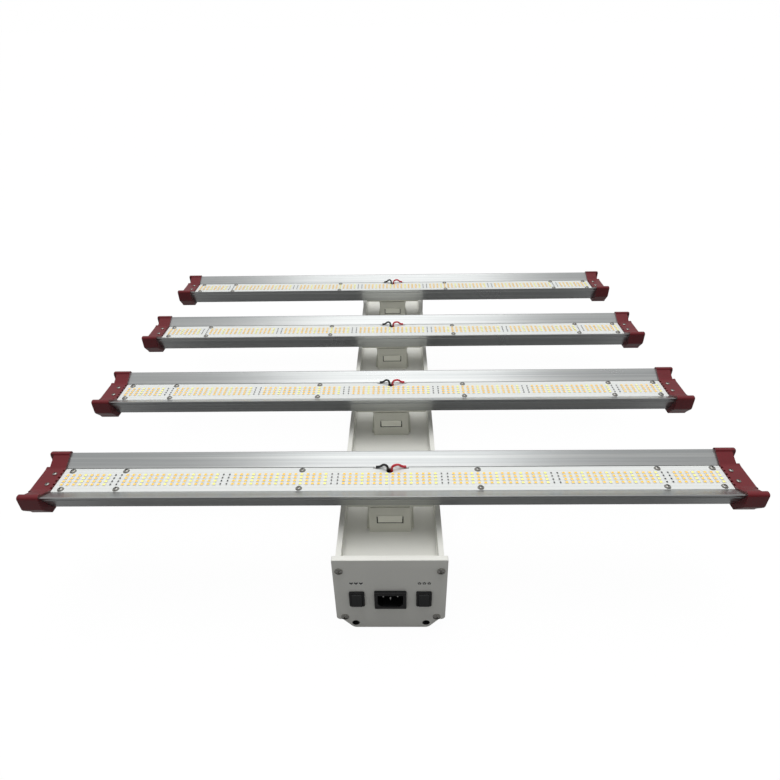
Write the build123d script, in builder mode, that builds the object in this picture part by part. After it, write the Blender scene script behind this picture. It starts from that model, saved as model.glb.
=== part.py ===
"""Four-bar LED grow light, lying on its back with the LEDs facing up.

X runs along the bars, Y from the inlet end (-Y) to the far end, Z up.
The origin is at the bottom centre: the ears of the end plates stand on Z = 0.
All sizes in millimetres.
"""

import math
import os

from build123d import *

os.makedirs("parts", exist_ok=True)

# ---- driving dimensions ----

# layout
BAR_COUNT = 4
BAR_PITCH = 156.6
BAR_LENGTH = 696.0
END_OVERHANG = 68.8

# heights, from the ground up
EAR_HEIGHT = 13.1
HOUSING_DEPTH = 88.1
COVER_RECESS = 15.3
BRACKET_HEIGHT = 36.7
BAR_BODY_HEIGHT = 14.3

# LED boards
BOARD_WIDTH = 33.3
BOARD_THICKNESS = 1.6
BOARD_JOINT_GAP = 0.1
BOARD_SCREWS_X = (87.5, 265.0, 319.0)
BOARD_SCREW_INSET = 3.65

# LEDs and resistors
LED_PITCH = 6.0
LED_ROW_PITCH = 4.5
LED_ROWS = 4
LED_SIZE = 3.0
LED_HEIGHT = 0.7
LED_RUNS = (8, 16, 16, 8)
RESISTOR_COLUMNS = 2
RESISTOR_LENGTH = 3.2
RESISTOR_WIDTH = 1.6
RESISTOR_HEIGHT = 0.6

# bar section
BOARD_SIDE_GAP = 0.6
RAIL_TOP_Y = 33.1
RAIL_TOP_HEIGHT = 7.7
RAIL_LIP = 1.0
BAR_BASE_Y = 20.2
BAR_WALL = 1.8
BAR_RIB = 2.0
RIDGE_HEIGHT = 1.4
RIDGE_OUT = 0.7

# end caps
CAP_LENGTH = 20.5
CAP_END_WALL = 6.0
CAP_CLEARANCE = 0.2
CAP_PLATE_HEIGHT = 1.5
CAP_FLARE_INSET = 1.05
CAP_FLARE_RADIUS = 8.0
CAP_HOOK_WIDTH = 6.3
CAP_HOOK_RISE = 2.2
CAP_HOOK_RADIUS = 3.2
CAP_HOOK_STEP = 1.9
CAP_STEP_RADIUS = 1.6
CAP_SIDE_Y = 34.9
CAP_SIDE_RADIUS = 5.0
CAP_BOTTOM_Y = 24.6
CAP_BOTTOM_WALL = 3.5
CAP_BOTTOM_RADIUS = 2.0
CAP_WAIST_DEPTH = 4.0
CAP_WAIST_DROP = 3.0
CAP_WAIST_GAP = 0.7
CAP_NOTCH = (1.4, 2.0)
CAP_NOTCH_PITCH = 5.0
CAP_NOTCH_COUNT = 6
CAP_SCREW_INSET = 13.7
CAP_SCREW_Y = 7.5
CAP_EDGE = 1.5

# supply wires
WIRE_DIAMETER = 2.4
WIRE_HOLE = 7.2
WIRE_HOLE_Y = 12.0

# bracket
FLANGE_WIDTH = 85.0
FLANGE_THICKNESS = 2.0
BRACKET_EDGE = 1.5
BRACKET_GROOVE = (38.0, 1.2)
BRACKET_GROOVE_DEPTH = 1.5
BRACKET_FRONT_WIDTH = 42.5
BRACKET_FRONT_THICKNESS = 5.0
BRACKET_FOOT_WIDTH = 47.5
BRACKET_WAIST_WIDTH = 40.0
BRACKET_HEAD_WIDTH = 46.5
BRACKET_BORE_X = 25.0
BRACKET_BORE_Y = 29.0
BRACKET_SCREW_X = 16.2
BRACKET_SCREW_Y = 14.0
FLANGE_SCREW_X = 35.5
FLANGE_SCREW_Y = 13.0

# snap tongue in the bracket's front wall
SLOT_WIDTH = 26.3
SLOT_HEIGHT = 10.6
SLOT_BELOW_FLANGE = 11.9
TONGUE_SIDE_GAP = 1.1
TONGUE_END_GAP = 0.9
TONGUE_PIVOT_RADIUS = 1.3
TONGUE_PIN_RADIUS = 0.9
TONGUE_PIN_REACH = 1.6
PIN_FIT = 0.05

# housing
HOUSING_WIDTH = 100.5
HOUSING_WALL = 2.5
RAIL_WIDTH = 5.0
LEDGE_WIDTH = 8.0
COVER_THICKNESS = 1.5
COVER_SIDE_GAP = 0.2
COVER_TOP_GAP = 0.15
COVER_LIP = (1.2, 1.2)
CORNER_BOSS = 9.2
HOUSING_CORNER = 3.0
COVER_WIRE_HOLE = 12.0

# end plates
PLATE_OVERHANG = 3.75
PLATE_DEPTH = 5.5
PLATE_FACE = 2.0
PLATE_CORNER = 4.0
PLATE_TOP_CORNER = 1.5
EAR_SHOULDER_WIDTH = 96.0
EAR_SHOULDER_RADIUS = 2.5
EAR_WIDTH = 75.2
EAR_CORNER = 7.0
HANGING_HOLE = 7.5
HANGING_HOLE_X = 35.2
HANGING_HOLE_Z = 7.7
UPPER_SCREW_INSET = 2.55
UPPER_SCREW_DROP = 14.8
LOWER_SCREW_INSET = 4.75
LOWER_SCREW_RISE = 4.9
POCKET_INSET = 7.25

# mains inlet
INLET_X = 0.0
INLET_DROP = 55.2
INLET_BEZEL = (31.0, 24.0)
INLET_BEZEL_DEPTH = 3.5
INLET_BEZEL_CORNER = 1.2
INLET_BODY = (27.4, 19.8)
INLET_BODY_DEPTH = 19.0
SOCKET_SIZE = (24.4, 16.6)
SOCKET_CHAMFER = 3.8
SOCKET_DEPTH = 18.0
PIN_WIDTH = 2.0
PIN_HEIGHT = 4.0
PIN_SPACING = 7.0
PIN_ROW_OFFSET = 2.0
PIN_RECESS = 4.5
PIN_TAIL = 8.0

# rocker switches
SWITCH_X = 32.4
SWITCH_DROP = 54.7
SWITCH_BEZEL = (15.0, 21.0)
SWITCH_BEZEL_DEPTH = 2.2
SWITCH_BODY = (13.0, 19.2)
SWITCH_BODY_DEPTH = 15.0
SWITCH_WELL = (10.4, 17.2)
SWITCH_WELL_DEPTH = 11.0
ROCKER_SIDE_GAP = 0.25
ROCKER_END_GAP = 0.2
ROCKER_TILT = 10.0
ROCKER_PIVOT_DEPTH = 0.3
ROCKER_VALLEY = 2.9
ROCKER_KEEL = 4.0
ROCKER_PIN_RADIUS = 1.2
ROCKER_PIN_REACH = 0.8
SWITCH_TAIL = 7.0

# drivers and wiring in the housing
DRIVER_LENGTH = 216.0
DRIVER_WIDTH = 70.0
DRIVER_HEIGHT = 37.0
DRIVER_FOOT = 9.0
DRIVER_FOOT_THICKNESS = 3.0
DRIVER_SCREW_X = 26.0
CONNECTOR_SIZE = (30.0, 20.0, 14.0)
LEAD_DIAMETER = 2.8
LINK_DIAMETER = 7.0

# screws: head diameter, head height, shank diameter
SMALL_SCREW = (5.5, 1.9, 2.8)
CAP_SCREW = (4.4, 1.6, 2.8)
PLATE_SCREW = (7.8, 2.6, 3.0)
SCREW_FIT = 0.1
CUTOUT_FIT = 0.1

# ---- levels and places that follow ----

housing_length = (BAR_COUNT - 1) * BAR_PITCH + 2 * END_OVERHANG
channel_length = housing_length - 2 * PLATE_DEPTH
bar_places = [(i - (BAR_COUNT - 1) / 2) * BAR_PITCH for i in range(BAR_COUNT)]

rail_top = EAR_HEIGHT + HOUSING_DEPTH
cover_top = rail_top - COVER_RECESS
cover_bottom = cover_top - COVER_THICKNESS
bar_base = cover_top + BRACKET_HEIGHT
seat_level = bar_base + BAR_BODY_HEIGHT
board_top = seat_level + BOARD_THICKNESS
flange_bottom = bar_base - FLANGE_THICKNESS
front_face = -housing_length / 2

rail_inner_x = HOUSING_WIDTH / 2 - RAIL_WIDTH
plate_width = HOUSING_WIDTH + 2 * PLATE_OVERHANG
pocket_width = HOUSING_WIDTH - 2 * POCKET_INSET
upper_screw_x = HOUSING_WIDTH / 2 - UPPER_SCREW_INSET
lower_screw_x = HOUSING_WIDTH / 2 - LOWER_SCREW_INSET
ledge_bottom = cover_bottom - HOUSING_WALL
floor_level = EAR_HEIGHT + HOUSING_WALL
driver_top = floor_level + DRIVER_HEIGHT
connector_top = driver_top + CONNECTOR_SIZE[2]

board_length = BAR_LENGTH / 2 - CAP_LENGTH - BOARD_JOINT_GAP / 2 - 0.3
heatsink_length = BAR_LENGTH - 2 * CAP_END_WALL - 2 * CAP_CLEARANCE
cap_screw_x = BAR_LENGTH / 2 - CAP_SCREW_INSET
bracket_depth = 2 * BAR_BASE_Y
board_screw_y = BOARD_WIDTH / 2 - BOARD_SCREW_INSET
slot_top = flange_bottom - SLOT_BELOW_FLANGE
slot_middle = slot_top - SLOT_HEIGHT / 2
lip_bottom = cover_top + COVER_TOP_GAP
driver_places = [-BAR_PITCH, BAR_PITCH]
driver_screw_reach = DRIVER_LENGTH / 2 + DRIVER_FOOT / 2
driver_screw_places = [
    (x, middle + end * driver_screw_reach)
    for middle in driver_places
    for end in (-1, 1)
    for x in (-DRIVER_SCREW_X, DRIVER_SCREW_X)
]
inlet_z = rail_top - INLET_DROP
switch_z = rail_top - SWITCH_DROP


def keep(name, part):
    """Label one finished piece and write it."""
    part.label = name
    export_step(part, f"parts/{name}.step")


def keep_on_bars(name, part):
    """Write one copy of a bar's piece at each bar's place."""
    for number, place in enumerate(bar_places, start=1):
        keep(f"bar_{number}_{name}", part.moved(Location((0, place, 0))))


# ---- screws ----


def cross_head_screw(size, length):
    """A pan head screw on the Z axis, its head resting on Z = 0 and its shank below."""
    head, height, shank = size
    with BuildPart() as screw:
        with BuildSketch(Plane.XZ) as half:
            with BuildLine():
                Line((0, -length), (shank / 2, -length))
                Line((shank / 2, -length), (shank / 2, 0))
                Line((shank / 2, 0), (head / 2, 0))
                Line((head / 2, 0), (head / 2, 0.4 * height))
                ThreePointArc(
                    (head / 2, 0.4 * height),
                    (0.42 * head, 0.8 * height),
                    (0.3 * head, height),
                )
                Line((0.3 * head, height), (0, height))
                Line((0, height), (0, -length))
            make_face()
        revolve(axis=Axis.Z)
        with BuildSketch(Plane.XY.offset(height)):
            Rectangle(0.55 * head, 0.13 * head)
            Rectangle(0.13 * head, 0.55 * head)
        extrude(amount=-0.6 * height, mode=Mode.SUBTRACT)
    return screw.part


def screw_group(screw, planes):
    """Copies of one screw, each standing on its own plane."""
    with BuildPart() as group:
        with Locations(*planes):
            add(screw)
    return group.part


# ---- bar: extruded heatsink with reflector rails ----


def bar_outline():
    """Corners of the bar's section about the board's top, right half from the seat to the base."""
    seat_y = BOARD_WIDTH / 2 + BOARD_SIDE_GAP
    base_z = bar_base - board_top
    return [
        (seat_y, -BOARD_THICKNESS),
        (seat_y, 0.3),
        (RAIL_TOP_Y - RAIL_LIP, RAIL_TOP_HEIGHT),
        (RAIL_TOP_Y, RAIL_TOP_HEIGHT),
        (BAR_BASE_Y, base_z),
    ]


def ridge_outline():
    """The small ridge along the outer face of a rail."""
    base_z = bar_base - board_top
    slope = (RAIL_TOP_Y - BAR_BASE_Y) / (RAIL_TOP_HEIGHT - base_z)
    rows = [1.2, 1.2 + RIDGE_HEIGHT / 2, 1.2 + RIDGE_HEIGHT]
    face = [(BAR_BASE_Y + slope * (z - base_z), z) for z in rows]
    return [face[0], (face[1][0] + RIDGE_OUT, face[1][1]), face[2], (face[1][0] - 0.5, face[1][1])]


def mirrored(points):
    """The closed outline that a right half and its mirror image make."""
    return points + [(-y, z) for y, z in reversed(points)]


section_plane = Plane(
    origin=(-heatsink_length / 2, 0, board_top), x_dir=(0, 1, 0), z_dir=(1, 0, 0)
)
flange_screw_places = [
    (x, y) for x in (-FLANGE_SCREW_X, FLANGE_SCREW_X) for y in (-FLANGE_SCREW_Y, FLANGE_SCREW_Y)
]
board_screw_places = [
    (side * x, y)
    for side in (-1, 1)
    for x in BOARD_SCREWS_X
    for y in (-board_screw_y, board_screw_y)
]
cap_screw_places = [
    (x, y) for x in (-cap_screw_x, cap_screw_x) for y in (-CAP_SCREW_Y, CAP_SCREW_Y)
]
small_hole = SMALL_SCREW[2] / 2 + SCREW_FIT

with BuildPart() as heatsink:
    with BuildSketch(section_plane):
        with BuildLine():
            Polyline(*mirrored(bar_outline()), close=True)
        make_face()
        for side in (1, -1):
            with BuildLine():
                Polyline(*[(side * y, z) for y, z in ridge_outline()], close=True)
            make_face()
    extrude(amount=heatsink_length)
    with BuildSketch(section_plane):
        with BuildLine():
            Polyline(*mirrored(bar_outline()), close=True)
        make_face()
        offset(amount=-BAR_WALL, kind=Kind.INTERSECTION, mode=Mode.REPLACE)
        Rectangle(BAR_RIB, 4 * BAR_BODY_HEIGHT, mode=Mode.SUBTRACT)
    extrude(amount=heatsink_length, mode=Mode.SUBTRACT)
    with Locations(Plane.XY.offset(seat_level)):
        with Locations(*board_screw_places, *cap_screw_places):
            Hole(small_hole, BAR_BODY_HEIGHT / 2)
        with Locations((0, WIRE_HOLE_Y)):
            Hole(WIRE_HOLE / 2, 2 * BAR_BODY_HEIGHT)
    with Locations(Plane.XY.offset(bar_base + BAR_BODY_HEIGHT / 2)):
        with Locations(*flange_screw_places):
            Hole(small_hole, BAR_BODY_HEIGHT)

# ---- LED boards, LEDs and resistors ----

with BuildPart() as led_boards:
    for side in (-1, 1):
        middle = side * (BOARD_JOINT_GAP + board_length) / 2
        with BuildSketch(Plane.XY.offset(seat_level)):
            with Locations((middle, 0)):
                Rectangle(board_length, BOARD_WIDTH)
            with Locations((0, WIRE_HOLE_Y)):
                Circle(WIRE_HOLE / 2, mode=Mode.SUBTRACT)
            with Locations(*board_screw_places):
                Circle(small_hole, mode=Mode.SUBTRACT)
        extrude(amount=BOARD_THICKNESS)

led_columns = []
resistor_columns = []
column = 0
for run in LED_RUNS:
    led_columns += range(column, column + run)
    column += run
    if column < sum(LED_RUNS) + RESISTOR_COLUMNS * (len(LED_RUNS) - 1):
        resistor_columns += range(column, column + RESISTOR_COLUMNS)
        column += RESISTOR_COLUMNS
led_rows = [(row - (LED_ROWS - 1) / 2) * LED_ROW_PITCH for row in range(LED_ROWS)]


def column_places(columns):
    """Both halves of the bar, every row, at these columns counted from the middle."""
    return [
        (side * (column + 0.5) * LED_PITCH, y)
        for side in (-1, 1)
        for column in columns
        for y in led_rows
    ]


with BuildPart() as leds:
    with BuildSketch(Plane.XY.offset(board_top)):
        with Locations(*column_places(led_columns)):
            Rectangle(LED_SIZE, LED_SIZE)
    extrude(amount=LED_HEIGHT)
    with BuildSketch(Plane.XY.offset(board_top)):
        with Locations(*column_places(resistor_columns)):
            Rectangle(RESISTOR_WIDTH, RESISTOR_LENGTH)
    extrude(amount=RESISTOR_HEIGHT)

# ---- screws of a bar ----

board_screw = cross_head_screw(SMALL_SCREW, 6.0)
board_screws = screw_group(board_screw, [Location((x, y, board_top)) for x, y in board_screw_places])

cap_plate_top = board_top + CAP_PLATE_HEIGHT
cap_screw = cross_head_screw(CAP_SCREW, 8.0)
cap_screws = screw_group(cap_screw, [Location((x, y, cap_plate_top)) for x, y in cap_screw_places])

# ---- end caps ----


def cap_half():
    """The cap's outer section about the board's top, right half, from the top to the bottom."""
    base_z = bar_base - board_top
    hook_top = RAIL_TOP_HEIGHT + CAP_HOOK_RISE
    hook_y = CAP_SIDE_Y - CAP_HOOK_WIDTH
    with BuildLine() as half:
        outside = FilletPolyline(
            (0, CAP_PLATE_HEIGHT),
            (BOARD_WIDTH / 2 - CAP_FLARE_INSET, CAP_PLATE_HEIGHT),
            (hook_y, hook_top - CAP_HOOK_STEP),
            (hook_y + CAP_HOOK_STEP / 2, hook_top),
            (CAP_SIDE_Y, hook_top),
            (CAP_SIDE_Y, -0.45 * BAR_BODY_HEIGHT),
            (CAP_BOTTOM_Y + CAP_BOTTOM_RADIUS, base_z),
            (CAP_BOTTOM_Y, base_z - CAP_BOTTOM_WALL),
            (0, base_z - CAP_BOTTOM_WALL),
            radius=[
                CAP_FLARE_RADIUS,
                CAP_STEP_RADIUS,
                CAP_STEP_RADIUS,
                CAP_HOOK_RADIUS,
                CAP_SIDE_RADIUS,
                CAP_BOTTOM_RADIUS,
                CAP_BOTTOM_RADIUS,
            ],
        )
        Line(outside @ 1, outside @ 0)
    return half.line


cap_plane = Plane(
    origin=(BAR_LENGTH / 2, 0, board_top), x_dir=(0, 1, 0), z_dir=(1, 0, 0)
)

with BuildPart() as right_cap:
    with BuildSketch(cap_plane):
        add(cap_half())
        make_face()
        mirror(about=Plane.YZ)
    extrude(amount=-CAP_LENGTH)
    outer_end = right_cap.faces().sort_by(Axis.X)[-1]
    fillet(outer_end.edges(), CAP_EDGE)
    waist_from = BOARD_WIDTH / 2 + CAP_WAIST_GAP
    waist_to = CAP_SIDE_Y - CAP_HOOK_WIDTH + CAP_WAIST_GAP
    with BuildSketch(Plane.XY.offset(board_top - CAP_WAIST_DROP)):
        with Locations(*[(BAR_LENGTH / 2, side * (waist_from + waist_to) / 2) for side in (-1, 1)]):
            Rectangle(2 * CAP_WAIST_DEPTH, waist_to - waist_from)
    extrude(amount=2 * BAR_BODY_HEIGHT, mode=Mode.SUBTRACT)
    with BuildSketch(cap_plane.offset(-CAP_END_WALL)):
        with BuildLine():
            Polyline(*mirrored(bar_outline()), close=True)
        make_face()
        for side in (1, -1):
            with BuildLine():
                Polyline(*[(side * y, z) for y, z in ridge_outline()], close=True)
            make_face()
        offset(amount=CAP_CLEARANCE, kind=Kind.INTERSECTION, mode=Mode.REPLACE)
    extrude(amount=-CAP_LENGTH, mode=Mode.SUBTRACT)
    with Locations(Plane.XY.offset(cap_plate_top)):
        with Locations(*cap_screw_places):
            Hole(small_hole, 2 * CAP_PLATE_HEIGHT + BOARD_THICKNESS)
    with BuildSketch(Plane.XY.offset(cap_plate_top)):
        with Locations((BAR_LENGTH / 2 - CAP_LENGTH, 0)):
            with GridLocations(0, CAP_NOTCH_PITCH, 1, CAP_NOTCH_COUNT):
                Rectangle(2 * CAP_NOTCH[0], CAP_NOTCH[1])
    extrude(amount=-CAP_PLATE_HEIGHT, mode=Mode.SUBTRACT)

# ---- supply wires ----

drop_to_connector = connector_top - board_top


def wire_route(side, pad_x):
    """Points of one wire from its solder pad, over and down the middle hole to the connector."""
    low = 0.1 + WIRE_DIAMETER / 2
    inset = 1.75
    return [
        (side * (pad_x + 1.6), 16.2, low),
        (side * (pad_x - 2.2), 15.6, low + 0.6),
        (side * (pad_x - 6.0), 14.4, low + 4.6),
        (side * (inset + 0.6), 12.4, low + 4.4),
        (side * inset, 12.0, -3.0),
        (side * inset, 12.3, -22.0),
        (side * (inset + 1.3), 11.8, -44.0),
        (side * (inset + 1.3), 11.8, drop_to_connector),
    ]


def tube(points, diameter):
    """A round tube along straight runs joined by arcs as large as the runs allow."""
    places = [Vector(*p) for p in points]
    radii = []
    for before, here, after in zip(places, places[1:], places[2:]):
        turn = math.radians((here - before).get_angle(after - here))
        shorter = min((here - before).length, (after - here).length)
        radii.append(0.45 * shorter / math.tan(turn / 2))
    print("arc radii", [round(r, 1) for r in radii])
    with BuildPart() as cord:
        with BuildLine() as path:
            FilletPolyline(*places, radius=radii)
        with BuildSketch(Plane(path.line @ 0, z_dir=path.line % 0)):
            Circle(diameter / 2)
        sweep()
    length = sum(edge.length for edge in path.edges())
    section = math.pi * diameter**2 / 4
    print("volume over section times length", round(cord.part.volume / section / length, 4))
    return cord.part


def lifted(points, height):
    """The same points, this much higher."""
    return [(x, y, z + height) for x, y, z in points]


black_wire = tube(lifted(wire_route(-1, 12.0), board_top), WIRE_DIAMETER)
red_wire = tube(lifted(wire_route(1, 14.6), board_top), WIRE_DIAMETER)

# ---- bracket and its snap tongue ----

bracket_front = -bracket_depth / 2
tongue_width = SLOT_WIDTH - 2 * TONGUE_SIDE_GAP
pivot_y = bracket_front + TONGUE_PIVOT_RADIUS
pivot_z = slot_top - TONGUE_PIVOT_RADIUS - 0.2
bracket_screw_places = [
    (x, y)
    for x in (-BRACKET_SCREW_X, BRACKET_SCREW_X)
    for y in (-BRACKET_SCREW_Y, BRACKET_SCREW_Y)
]

with BuildPart() as bracket:
    with BuildSketch(Plane.XZ.offset(-bracket_depth / 2)):
        with BuildLine():
            foot = (BRACKET_FOOT_WIDTH / 2, cover_top)
            waist = (BRACKET_WAIST_WIDTH / 2, (cover_top + flange_bottom) / 2)
            head = (BRACKET_HEAD_WIDTH / 2, flange_bottom)
            Line((0, cover_top), foot)
            ThreePointArc(foot, waist, head)
            Line(head, (0, flange_bottom))
            Line((0, flange_bottom), (0, cover_top))
        make_face()
        mirror(about=Plane.YZ)
    extrude(amount=bracket_depth - BRACKET_FRONT_THICKNESS)
    with BuildSketch(Plane.XY.offset(cover_top)):
        with Locations((0, bracket_front + BRACKET_FRONT_THICKNESS / 2)):
            Rectangle(BRACKET_FRONT_WIDTH, BRACKET_FRONT_THICKNESS)
    extrude(amount=BRACKET_HEIGHT)
    front = bracket.faces().sort_by(Axis.Y)[0]
    fillet(front.edges().filter_by(Axis.Z), BRACKET_EDGE)
    with BuildSketch(Plane.XZ.offset(-bracket_front)):
        with Locations((0, flange_bottom - BRACKET_GROOVE[1] / 2)):
            Rectangle(*BRACKET_GROOVE)
    extrude(amount=-BRACKET_GROOVE_DEPTH, mode=Mode.SUBTRACT)
    with BuildSketch(Plane.XY.offset(flange_bottom)):
        RectangleRounded(FLANGE_WIDTH, bracket_depth, 3.0)
    extrude(amount=FLANGE_THICKNESS)
    with BuildSketch(Plane.XY.offset(cover_top)):
        Rectangle(BRACKET_BORE_X, BRACKET_BORE_Y)
    extrude(amount=BRACKET_HEIGHT, mode=Mode.SUBTRACT)
    with BuildSketch(Plane.XZ.offset(-bracket_front)):
        with Locations((0, slot_middle)):
            Rectangle(SLOT_WIDTH, SLOT_HEIGHT)
    extrude(amount=-(bracket_depth - BRACKET_BORE_Y) / 2, mode=Mode.SUBTRACT)
    with BuildSketch(Plane.YZ):
        with Locations((pivot_y, pivot_z)):
            Circle(TONGUE_PIN_RADIUS + PIN_FIT)
    extrude(amount=SLOT_WIDTH / 2 + TONGUE_PIN_REACH - TONGUE_SIDE_GAP + 0.3, both=True, mode=Mode.SUBTRACT)
    with Locations(Plane.XY.offset(bar_base)):
        with Locations(*flange_screw_places):
            Hole(small_hole, 2 * FLANGE_THICKNESS)
    with Locations(Plane.XY.offset(cover_top + 4.0)):
        with Locations(*bracket_screw_places):
            Hole(small_hole, 8.0)

with BuildPart() as tongue:
    with BuildSketch(Plane.YZ.offset(-tongue_width / 2)):
        with Locations((pivot_y, pivot_z)):
            Circle(TONGUE_PIVOT_RADIUS)
        with Locations((pivot_y, (pivot_z + slot_top - SLOT_HEIGHT + TONGUE_END_GAP) / 2)):
            Rectangle(
                2 * TONGUE_PIVOT_RADIUS, pivot_z - (slot_top - SLOT_HEIGHT + TONGUE_END_GAP)
            )
    extrude(amount=tongue_width)
    with BuildSketch(Plane.YZ):
        with Locations((pivot_y, pivot_z)):
            Circle(TONGUE_PIN_RADIUS)
    extrude(amount=tongue_width / 2 + TONGUE_PIN_REACH, both=True)

keep_on_bars("heatsink", heatsink.part)
keep_on_bars("led_boards", led_boards.part)
keep_on_bars("leds", leds.part)
keep_on_bars("board_screws", board_screws)
keep_on_bars("right_cap", right_cap.part)
keep_on_bars("left_cap", right_cap.part.mirror(Plane.YZ))
keep_on_bars("cap_screws", cap_screws)
keep_on_bars("black_wire", black_wire)
keep_on_bars("red_wire", red_wire)
keep_on_bars("bracket", bracket.part)
keep_on_bars("snap_tongue", tongue.part)

# ---- housing channel and cover ----

with BuildPart() as channel:
    with BuildSketch(Plane.XZ.offset(-channel_length / 2)) as section:
        with BuildLine():
            Polyline(
                (0, EAR_HEIGHT),
                (HOUSING_WIDTH / 2, EAR_HEIGHT),
                (HOUSING_WIDTH / 2, rail_top),
                (rail_inner_x, rail_top),
                (rail_inner_x, lip_bottom + COVER_LIP[1]),
                (rail_inner_x - COVER_LIP[0], lip_bottom + COVER_LIP[1]),
                (rail_inner_x - COVER_LIP[0], lip_bottom),
                (rail_inner_x, lip_bottom),
                (rail_inner_x, cover_bottom),
                (rail_inner_x - LEDGE_WIDTH, cover_bottom),
                (rail_inner_x - LEDGE_WIDTH, ledge_bottom),
                (HOUSING_WIDTH / 2 - HOUSING_WALL, ledge_bottom),
                (HOUSING_WIDTH / 2 - HOUSING_WALL, EAR_HEIGHT + CORNER_BOSS),
                (HOUSING_WIDTH / 2 - CORNER_BOSS, EAR_HEIGHT + CORNER_BOSS),
                (HOUSING_WIDTH / 2 - CORNER_BOSS, floor_level),
                (0, floor_level),
                close=True,
            )
        make_face()
        mirror(about=Plane.YZ)
        lowest = section.vertices().group_by(Axis.Y)[0]
        fillet([lowest.sort_by(Axis.X)[0], lowest.sort_by(Axis.X)[-1]], HOUSING_CORNER)
        for side in (-1, 1):
            with Locations(
                (side * upper_screw_x, rail_top - UPPER_SCREW_DROP),
                (side * lower_screw_x, EAR_HEIGHT + LOWER_SCREW_RISE),
            ):
                Circle(PLATE_SCREW[2] / 2 + SCREW_FIT, mode=Mode.SUBTRACT)
    extrude(amount=channel_length)
    with Locations(Plane.XY.offset(floor_level)):
        with Locations(*driver_screw_places):
            Hole(small_hole, 2 * HOUSING_WALL)

with BuildPart() as cover:
    with BuildSketch(Plane.XY.offset(cover_bottom)):
        Rectangle(2 * (rail_inner_x - COVER_SIDE_GAP), channel_length - 2 * COVER_SIDE_GAP)
        for y in bar_places:
            with Locations((0, y + WIRE_HOLE_Y)):
                Circle(COVER_WIRE_HOLE / 2, mode=Mode.SUBTRACT)
            with Locations(*[(sx, y + sy) for sx, sy in bracket_screw_places]):
                Circle(small_hole, mode=Mode.SUBTRACT)
    extrude(amount=COVER_THICKNESS)

keep("housing_channel", channel.part)
keep("housing_cover", cover.part)

# ---- end plates ----

plate_screw_places = [
    (side * x, z)
    for side in (-1, 1)
    for x, z in (
        (upper_screw_x, rail_top - UPPER_SCREW_DROP),
        (lower_screw_x, EAR_HEIGHT + LOWER_SCREW_RISE),
    )
]
hanging_hole_places = [(-HANGING_HOLE_X, HANGING_HOLE_Z), (HANGING_HOLE_X, HANGING_HOLE_Z)]


def plate_half():
    """Right half of an end plate's outline, with the sloping ear below the housing."""
    with BuildLine() as half:
        outside = FilletPolyline(
            (0, rail_top),
            (plate_width / 2, rail_top),
            (plate_width / 2, EAR_HEIGHT),
            (EAR_SHOULDER_WIDTH / 2, EAR_HEIGHT),
            (EAR_WIDTH / 2, 0),
            (0, 0),
            radius=[PLATE_TOP_CORNER, PLATE_CORNER, EAR_SHOULDER_RADIUS, EAR_CORNER],
        )
        Line(outside @ 1, outside @ 0)
    return half.line


def end_plate(cutouts):
    """The end plate at the front: a face with a rim behind it, pierced by these (x, z, size) cutouts."""
    with BuildPart() as plate:
        with BuildSketch(Plane.XZ.offset(-front_face)):
            add(plate_half())
            make_face()
            mirror(about=Plane.YZ)
            with Locations(*hanging_hole_places):
                Circle(HANGING_HOLE / 2, mode=Mode.SUBTRACT)
            with Locations(*plate_screw_places):
                Circle(PLATE_SCREW[2] / 2 + SCREW_FIT, mode=Mode.SUBTRACT)
            for x, z, size in cutouts:
                with Locations((x, z)):
                    Rectangle(size[0] + 2 * CUTOUT_FIT, size[1] + 2 * CUTOUT_FIT, mode=Mode.SUBTRACT)
        extrude(amount=-PLATE_DEPTH)
        with BuildSketch(Plane.XZ.offset(-front_face - PLATE_FACE)):
            with Locations((0, (ledge_bottom + EAR_HEIGHT + CORNER_BOSS) / 2)):
                Rectangle(pocket_width, ledge_bottom - EAR_HEIGHT - CORNER_BOSS)
        extrude(amount=-(PLATE_DEPTH - PLATE_FACE), mode=Mode.SUBTRACT)
        chamfer(plate.faces().sort_by(Axis.Y)[0].outer_wire().edges(), 0.4)
    return plate.part


switch_places = [-SWITCH_X, SWITCH_X]
front_plate = end_plate(
    [(INLET_X, inlet_z, INLET_BODY)] + [(x, switch_z, SWITCH_BODY) for x in switch_places]
)
rear_plate = end_plate([]).rotate(Axis.Z, 180)
keep("front_plate", front_plate)
keep("rear_plate", rear_plate)

# ---- mains inlet ----


def socket_outline():
    """The inlet's mouth, a rectangle with its two lower corners cut off."""
    half_x = SOCKET_SIZE[0] / 2
    half_z = SOCKET_SIZE[1] / 2
    with BuildLine() as mouth:
        Polyline(
            (-half_x, half_z),
            (half_x, half_z),
            (half_x, SOCKET_CHAMFER - half_z),
            (half_x - SOCKET_CHAMFER, -half_z),
            (SOCKET_CHAMFER - half_x, -half_z),
            (-half_x, SOCKET_CHAMFER - half_z),
            close=True,
        )
    return mouth.line


pin_places = [(-PIN_SPACING, PIN_ROW_OFFSET), (0, -PIN_ROW_OFFSET), (PIN_SPACING, PIN_ROW_OFFSET)]
inlet_plane = Plane(origin=(INLET_X, front_face, inlet_z), x_dir=(1, 0, 0), z_dir=(0, -1, 0))

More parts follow.
